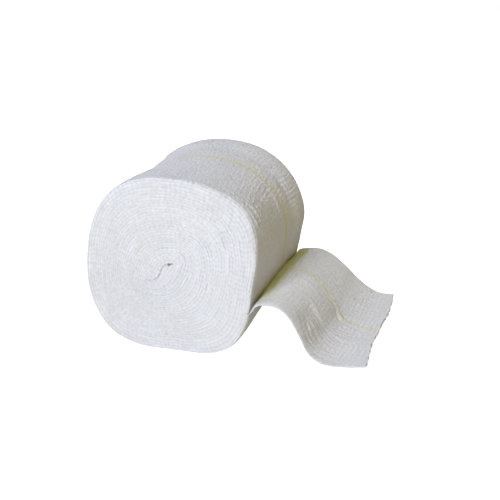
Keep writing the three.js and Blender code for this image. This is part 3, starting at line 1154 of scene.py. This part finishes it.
@dataclass
class CutYarns:
    """Ends of the knitted yarns that stand out of the cut."""

    count: int = 130
    longest: float = 2.2  # millimetres, as all sizes here
    thick: float = 0.16
    taper: float = 0.78  # thickness of each step as a share of the one before
    sides: int = 5
    steps: int = 4
    seed: int = 97
    spread: tuple[float, float] = (0.35, 0.18)  # of their directions, sideways and up
    lowest: tuple[float, float] = (0.25, 0.02)  # of their roots and of any point above the floor

    def build(self, rim: tuple[np.ndarray, np.ndarray]) -> bpy.types.Mesh:
        """Stand a short bent cone at random places of the cut.

        Args:
            rim: Places of the cut's edge in millimetres, and its direction in X and Z.

        Returns:
            The mesh of all the yarn ends.
        """
        draw = np.random.default_rng(self.seed)
        places, direction = rim
        bm = bmesh.new()
        for _ in range(self.count):
            i = int(draw.integers(2, len(places) - 2))
            length = self.longest * (0.3 + 0.7 * draw.random() ** 2)
            aside, upwards = draw.normal(0, self.spread[0]), draw.normal(0, self.spread[1])
            heading = Vector((direction[i, 0], aside, direction[i, 1] + upwards))
            lean = heading.to_track_quat("Z", "X").to_matrix().to_4x4()
            at = Vector(places[i]) - 0.5 * heading
            at.z = max(at.z, self.lowest[0])
            self.add_yarn(bm, Matrix.Translation(at) @ lean, length, draw.normal(0, 0.5))
        for vert in bm.verts:
            vert.co.z = max(vert.co.z, self.lowest[1])
        bmesh.ops.recalc_face_normals(bm, faces=bm.faces)
        bmesh.ops.scale(bm, vec=(MM, MM, MM), verts=bm.verts)
        mesh = bpy.data.meshes.new("cut_yarns")
        bm.to_mesh(mesh)
        bm.free()
        mesh.shade_smooth()
        # Crest at 0.5 puts the yarn ends half way into the painted shade; they carry no yellow line.
        for mark, value in (("crest", 0.5), ("line_offset", FAR_OFF), ("fuzz", 1.0), ("line_dye_and_highlight", 0.0)):
            points = mesh.attributes.new(mark, "FLOAT", "POINT").data
            points.foreach_set("value", np.full(len(points), value))
        return mesh

    def add_yarn(self, bm: bmesh.types.BMesh, place: Matrix, length: float, bend: float) -> None:
        """Add one tapered yarn end.

        Args:
            bm: The mesh that it joins.
            place: Where it starts and where it points.
            length: Its length.
            bend: How far it turns to the side by its tip, in radians.
        """
        made = bmesh.ops.create_circle(bm, cap_ends=True, segments=self.sides, radius=self.thick)
        bmesh.ops.transform(bm, matrix=place, verts=made["verts"])
        tip = made["verts"][0].link_faces[0]
        along, across = place.col[2].xyz, place.col[0].xyz
        for step in range(self.steps):
            grown = bmesh.ops.extrude_face_region(bm, geom=[tip], use_keep_orig=True)["geom"]
            if step:
                bmesh.ops.delete(bm, geom=[tip], context="FACES_ONLY")
            tip = next(item for item in grown if isinstance(item, bmesh.types.BMFace))
            along = Matrix.Rotation(bend / self.steps, 3, across) @ along
            middle = tip.calc_center_median()
            about = Matrix.Translation(-middle)
            bmesh.ops.scale(bm, vec=(self.taper, self.taper, self.taper), space=about, verts=tip.verts)
            bmesh.ops.translate(bm, vec=along * (length / self.steps), verts=tip.verts)


class Wiring:
    """The nodes of one material, added and wired up one after another."""

    def __init__(self, tree: bpy.types.NodeTree) -> None:
        """Read the cloth's UV map, whose X runs along the tube and Y round it.

        Args:
            tree: The material's nodes.
        """
        self.tree = tree
        uv = tree.nodes.new("ShaderNodeUVMap")
        uv.uv_map = "cloth"
        self.cloth = uv.outputs["UV"]
        parts = tree.nodes.new("ShaderNodeSeparateXYZ")
        self.feed(parts.inputs[0], self.cloth)
        self.along, self.round_tube = parts.outputs["X"], parts.outputs["Y"]

    def feed(self, socket: Socket, value: Socket | float | tuple) -> None:
        """Link an input, or set it.

        Args:
            socket: The input.
            value: A socket to link it to, or a number or a colour.
        """
        if isinstance(value, Socket):
            self.tree.links.new(value, socket)
        else:
            socket.default_value = value

    def math(self, operation: str, first: Socket | float, second: Socket | float = 0.0) -> Socket:
        """Add a Math node.

        Args:
            operation: Its operation.
            first: First input, a socket or a number.
            second: Second input.

        Returns:
            Its output.
        """
        node = self.tree.nodes.new("ShaderNodeMath")
        node.operation = operation
        self.feed(node.inputs[0], first)
        self.feed(node.inputs[1], second)
        return node.outputs[0]

    def times(self, first: Socket, second: Socket | float) -> Socket:
        """Multiply two values."""
        return self.math("MULTIPLY", first, second)

    def plus(self, first: Socket, second: Socket | float) -> Socket:
        """Add two values."""
        return self.math("ADD", first, second)

    def wave(self, place: Socket, length: float) -> Socket:
        """A sine wave of the given length."""
        return self.math("SINE", self.times(place, math.tau / length))

    def noise(self, vector: Socket, scale: float, detail: float) -> Socket:
        """Add a Noise Texture node.

        Args:
            vector: Where it is read.
            scale: Its scale per metre.
            detail: Its detail.

        Returns:
            Its value.
        """
        node = self.tree.nodes.new("ShaderNodeTexNoise")
        self.feed(node.inputs["Scale"], scale)
        self.feed(node.inputs["Detail"], detail)
        self.feed(node.inputs["Vector"], vector)
        return node.outputs["Fac"]

    def attribute(self, name: str) -> Socket:
        """Read one of the pieces' point attributes.

        Args:
            name: Its name.

        Returns:
            Its value.
        """
        node = self.tree.nodes.new("ShaderNodeAttribute")
        node.attribute_name = name
        return node.outputs["Fac"]

    def mix(self, share: Socket, first: Socket | tuple, second: Socket | tuple) -> Socket:
        """Mix two colours.

        Args:
            share: Share of the second.
            first: A socket or a colour.
            second: A socket or a colour.

        Returns:
            The mixed colour.
        """
        node = self.tree.nodes.new("ShaderNodeMix")
        node.data_type = "RGBA"
        self.feed(node.inputs[0], share)
        self.feed(node.inputs[6], first)
        self.feed(node.inputs[7], second)
        return node.outputs[2]


@dataclass(frozen=True)
class CottonKnit:
    """Finish of the knitted cotton: colours are linear, sizes in metres."""

    name: str = "cotton_knit"
    base: tuple[float, float, float, float] = (0.95, 0.935, 0.85, 1.0)
    # The gap colour is painted shade in the gaps between the courses and the hollows of the weave, and the
    # dark end of the random tone.
    gap: tuple[float, float, float, float] = (0.70, 0.665, 0.54, 1.0)
    line: tuple[float, float, float, float] = (0.84, 0.785, 0.35, 1.0)
    wale: float = 0.00085
    sway: float = 0.0009  # how far the wales stray
    sway_scale: float = 90.0
    wear_scale: float = 60.0
    fibre_lie: tuple[float, float, float] = (1.0, 0.55, 1.0)  # the fibres' grain is longer round the tube
    loop: float = 0.0007
    line_half: float = 2.4  # millimetres, as the attribute is
    line_fade: tuple[float, float] = (0.2, 1.25)  # where it fades, as shares of its half width
    line_stitch: float = 0.0016
    line_broken: tuple[float, float] = (0.33, 0.66)  # swing and mean of its strength along the stitches
    grain: float = 620.0  # loose fibres per metre
    heights: tuple[float, float, float] = (0.2, 0.08, 2.2)  # of the wales, the loops and the fibres
    # The crest share paints shade in the gaps between the courses, the weave share paints shade in the
    # hollows of the loops and adds the fibres' random tone, and the wear share is random tone.
    shades: tuple[float, float, float, float] = (0.16, 0.8, 0.35, 0.32)  # crest, weave, wear and the least
    roughness: float = 0.93
    sheen: float = 0.12
    bump: float = 1.0
    bump_depth: float = 0.0008

    def build(self) -> bpy.types.Material:
        """Make the material.

        Returns:
            A node material that reads the cloth UV map and the pieces' attributes.
        """
        material = bpy.data.materials.new(self.name)
        material.use_nodes = True
        tree = material.node_tree
        shader = tree.nodes["Principled BSDF"]
        shader.inputs["Roughness"].default_value = self.roughness
        shader.inputs["Diffuse Roughness"].default_value = 1.0
        shader.inputs["Sheen Weight"].default_value = self.sheen
        shader.inputs["Sheen Roughness"].default_value = 0.4
        shader.inputs["Specular IOR Level"].default_value = 0.25
        wiring = Wiring(tree)
        weave = self.weave(wiring)
        wiring.feed(shader.inputs["Base Color"], self.colour(wiring, weave))
        bump = tree.nodes.new("ShaderNodeBump")
        wiring.feed(bump.inputs["Strength"], self.bump)
        wiring.feed(bump.inputs["Distance"], self.bump_depth)
        wiring.feed(bump.inputs["Height"], weave)
        wiring.feed(shader.inputs["Normal"], bump.outputs["Normal"])
        return material

    def weave(self, wiring: Wiring) -> Socket:
        """Height of the loops: fine wales along the tube, broken into stitches, with loose fibres. The colour
        reads it too, as painted shade in the hollows of the loops.

        Args:
            wiring: The material's nodes.

        Returns:
            The height, about 0 to 1.
        """
        wales, loops, fibres = self.heights
        swayed = wiring.times(wiring.noise(wiring.cloth, self.sway_scale, 2.0), self.sway)
        wale = wiring.wave(wiring.plus(wiring.round_tube, swayed), self.wale)
        knit = wiring.times(wiring.plus(wale, 1.0), wales)
        broken = wiring.plus(knit, wiring.times(wiring.wave(wiring.along, self.loop), loops))
        squeezed = wiring.tree.nodes.new("ShaderNodeVectorMath")
        squeezed.operation = "MULTIPLY"
        wiring.feed(squeezed.inputs[0], wiring.cloth)
        wiring.feed(squeezed.inputs[1], self.fibre_lie)
        rough = wiring.math("SUBTRACT", wiring.noise(squeezed.outputs[0], self.grain, 2.0), 0.5)
        raised = wiring.times(wiring.times(rough, wiring.attribute("fuzz")), fibres)
        return wiring.plus(broken, raised)

    def colour(self, wiring: Wiring, weave: Socket) -> Socket:
        """Colour of the cloth: painted shade in the gaps between the courses and in the hollows of the weave,
        a little uneven at random, with the yellow line.

        Args:
            wiring: The material's nodes.
            weave: Height of the loops.

        Returns:
            The colour.
        """
        crest, loops, wear, least = self.shades
        # Painted shade: lighter on the courses' crests and the raised loops, darker toward the gap colour in
        # the gaps and hollows between them.
        raised = wiring.plus(wiring.times(wiring.attribute("crest"), crest), wiring.times(weave, loops))
        worn = wiring.times(wiring.noise(wiring.cloth, self.wear_scale, 4.0), wear)
        shade = wiring.plus(wiring.plus(raised, worn), least)
        cloth = wiring.mix(shade, self.gap, self.base)
        return wiring.mix(self.line_strength(wiring), cloth, self.line)

    def line_strength(self, wiring: Wiring) -> Socket:
        """Strength of the yellow line: soft at its edges, broken into stitches, and painted paler on the
        loose end as a highlight.

        Args:
            wiring: The material's nodes.

        Returns:
            The strength, 0 to 1.
        """
        within, beyond = self.line_fade
        swing, mean = self.line_broken
        ramp = wiring.tree.nodes.new("ShaderNodeMapRange")
        ramp.interpolation_type = "SMOOTHSTEP"
        wiring.feed(ramp.inputs["Value"], wiring.math("ABSOLUTE", wiring.attribute("line_offset")))
        wiring.feed(ramp.inputs["From Min"], self.line_half * within)
        wiring.feed(ramp.inputs["From Max"], self.line_half * beyond)
        wiring.feed(ramp.inputs["To Min"], 1.0)
        wiring.feed(ramp.inputs["To Max"], 0.0)
        stitched = wiring.plus(wiring.times(wiring.wave(wiring.along, self.line_stitch), swing), mean)
        return wiring.times(ramp.outputs["Result"], wiring.times(stitched, wiring.attribute("line_dye_and_highlight")))


class Lamp(NamedTuple):
    """A round soft light: its direction from the roll, distance and size in metres, watts and colour."""

    name: str
    towards: tuple[float, float, float]
    away: float
    size: float
    power: float
    colour: tuple[float, float, float]


@dataclass
class Studio:
    """Plain pale floor, soft studio lights and the camera."""

    floor_size: float = 40.0
    floor_colour: tuple[float, float, float, float] = (0.86, 0.845, 0.77, 1.0)
    floor_drop: float = 0.0002  # how far it lies under the roll
    floor_bounce: float = 0.14  # what the pale floor throws back on the roll; in view it is white
    lit_height: float = 0.05  # height that the lamps point at
    camera_at: tuple[float, float, float] = (0.17022, -0.490221, 0.222559)  # metres
    camera_down: float = 19.0  # degrees
    camera_left: float = 16.71
    lens: float = 64.34
    lamps: tuple[Lamp, ...] = (
        Lamp("key", (-0.14, -0.88, 0.45), 1.3, 0.35, 12.0, (0.705, 0.765, 1.0)),
        Lamp("cool_top", (-0.11, -0.1, 1.0), 1.4, 0.3, 8.6, (0.52, 0.55, 1.0)),
        Lamp("left_top", (-0.36, -0.1, 0.93), 1.4, 0.2, 1.6, (0.7, 0.66, 1.0)),
        Lamp("warm_top", (0.25, 0.1, 0.96), 1.4, 0.3, 4.3, (1.0, 0.955, 0.22)),
        Lamp("side", (0.97, -0.2, 0.12), 1.3, 0.5, 1.9, (1.0, 0.86, 0.76)),
        Lamp("back", (-0.45, 0.85, 0.12), 1.3, 0.5, 6.0, (0.95, 0.96, 1.0)),
    )
    world_strength: float = 0.01

    def camera(self) -> None:
        """Stand the camera where the photograph was taken from."""
        data = bpy.data.cameras.new("camera")
        data.lens = self.lens
        camera = bpy.data.objects.new("camera", data)
        camera.location = self.camera_at
        turn = (math.radians(90 - self.camera_down), 0.0, math.radians(self.camera_left))
        camera.rotation_euler = Euler(turn)
        bpy.context.collection.objects.link(camera)
        bpy.context.scene.camera = camera

    def floor(self) -> None:
        """Lay the floor under the roll."""
        bm = bmesh.new()
        bmesh.ops.create_grid(bm, x_segments=1, y_segments=1, size=self.floor_size / 2)
        bmesh.ops.translate(bm, vec=(0, 0, -self.floor_drop), verts=bm.verts)
        mesh = bpy.data.meshes.new("floor")
        bm.to_mesh(mesh)
        bm.free()
        material = bpy.data.materials.new("pale_floor")
        material.use_nodes = True
        tree = material.node_tree
        shader = tree.nodes["Principled BSDF"]
        shader.inputs["Base Color"].default_value = self.floor_colour
        shader.inputs["Roughness"].default_value = 0.9
        shader.inputs["Emission Color"].default_value = (1, 1, 1, 1)
        self.white_in_view(tree, self.floor_bounce, shader.inputs["Emission Strength"])
        mesh.materials.append(material)
        floor = bpy.data.objects.new("floor", mesh)
        bpy.context.collection.objects.link(floor)

    @staticmethod
    def white_in_view(tree: bpy.types.NodeTree, strength: float, socket: bpy.types.NodeSocket) -> None:
        """Give a glow full strength in view, and a strength of its own as a light.

        Args:
            tree: The glowing material's or world's nodes.
            strength: Its strength as a light.
            socket: The strength's input.
        """
        path = tree.nodes.new("ShaderNodeLightPath")
        glow = tree.nodes.new("ShaderNodeMath")
        glow.operation = "MULTIPLY_ADD"
        glow.inputs[1].default_value = 1 - strength
        glow.inputs[2].default_value = strength
        tree.links.new(path.outputs["Is Camera Ray"], glow.inputs[0])
        tree.links.new(glow.outputs[0], socket)

    def hang(self, lamp: Lamp) -> None:
        """Hang one soft round light that points at the roll.

        Args:
            lamp: Its row of the table.
        """
        data = bpy.data.lights.new(lamp.name, "AREA")
        data.shape = "DISK"
        data.size, data.energy, data.color = lamp.size, lamp.power, lamp.colour
        light = bpy.data.objects.new(lamp.name, data)
        towards = Vector(lamp.towards).normalized()
        light.location = Vector((0.0, 0.0, self.lit_height)) + towards * lamp.away
        light.rotation_euler = towards.to_track_quat("Z", "Y").to_euler()
        bpy.context.collection.objects.link(light)

    def lights(self) -> None:
        """Hang the lamps, and fill the rest faintly from all round."""
        for lamp in self.lamps:
            self.hang(lamp)
        world = bpy.data.worlds.new("studio")
        world.use_nodes = True
        background = world.node_tree.nodes["Background"]
        background.inputs["Color"].default_value = (1.0, 1.0, 1.0, 1.0)
        self.white_in_view(world.node_tree, self.world_strength, background.inputs["Strength"])
        bpy.context.scene.world = world
        bpy.context.scene.view_settings.view_transform = "Standard"

    def build(self) -> None:
        """Set up the whole studio."""
        self.camera()
        self.floor()
        self.lights()


@dataclass
class BandageRoll:
    """The whole roll, dressed piece by piece."""

    form: RollForm = field(default_factory=RollForm)
    relief: KnitRelief = field(default_factory=KnitRelief)
    cloth: CottonKnit = field(default_factory=CottonKnit)
    loose_length: float = 84.0  # flat length of the loose end, from the crease to the cut

    def build(self) -> None:
        """Wind the cloth, lay its loose end and fray the cut."""
        material = self.cloth.build()
        turns = WoundTurns(self.form, self.relief)
        for stretch in Stretch:
            steps, _ = turns.part(stretch)
            piece = put_in_scene(turns.build(stretch), material, ("wound_roll",))
        end = FreeEnd(self.form, self.relief, turns)
        loose = put_in_scene(end.build(), material, ("loose_end",))
        yarns = put_in_scene(CutYarns().build(end.rim), material, ())
        logger.info("wound cloth %.3f m", turns.length * MM)


def main() -> None:
    """Build the studio and the roll."""
    logging.basicConfig(level=logging.INFO, format="%(message)s")
    Studio().build()
    BandageRoll().build()


if __name__ == "__main__":
    main()
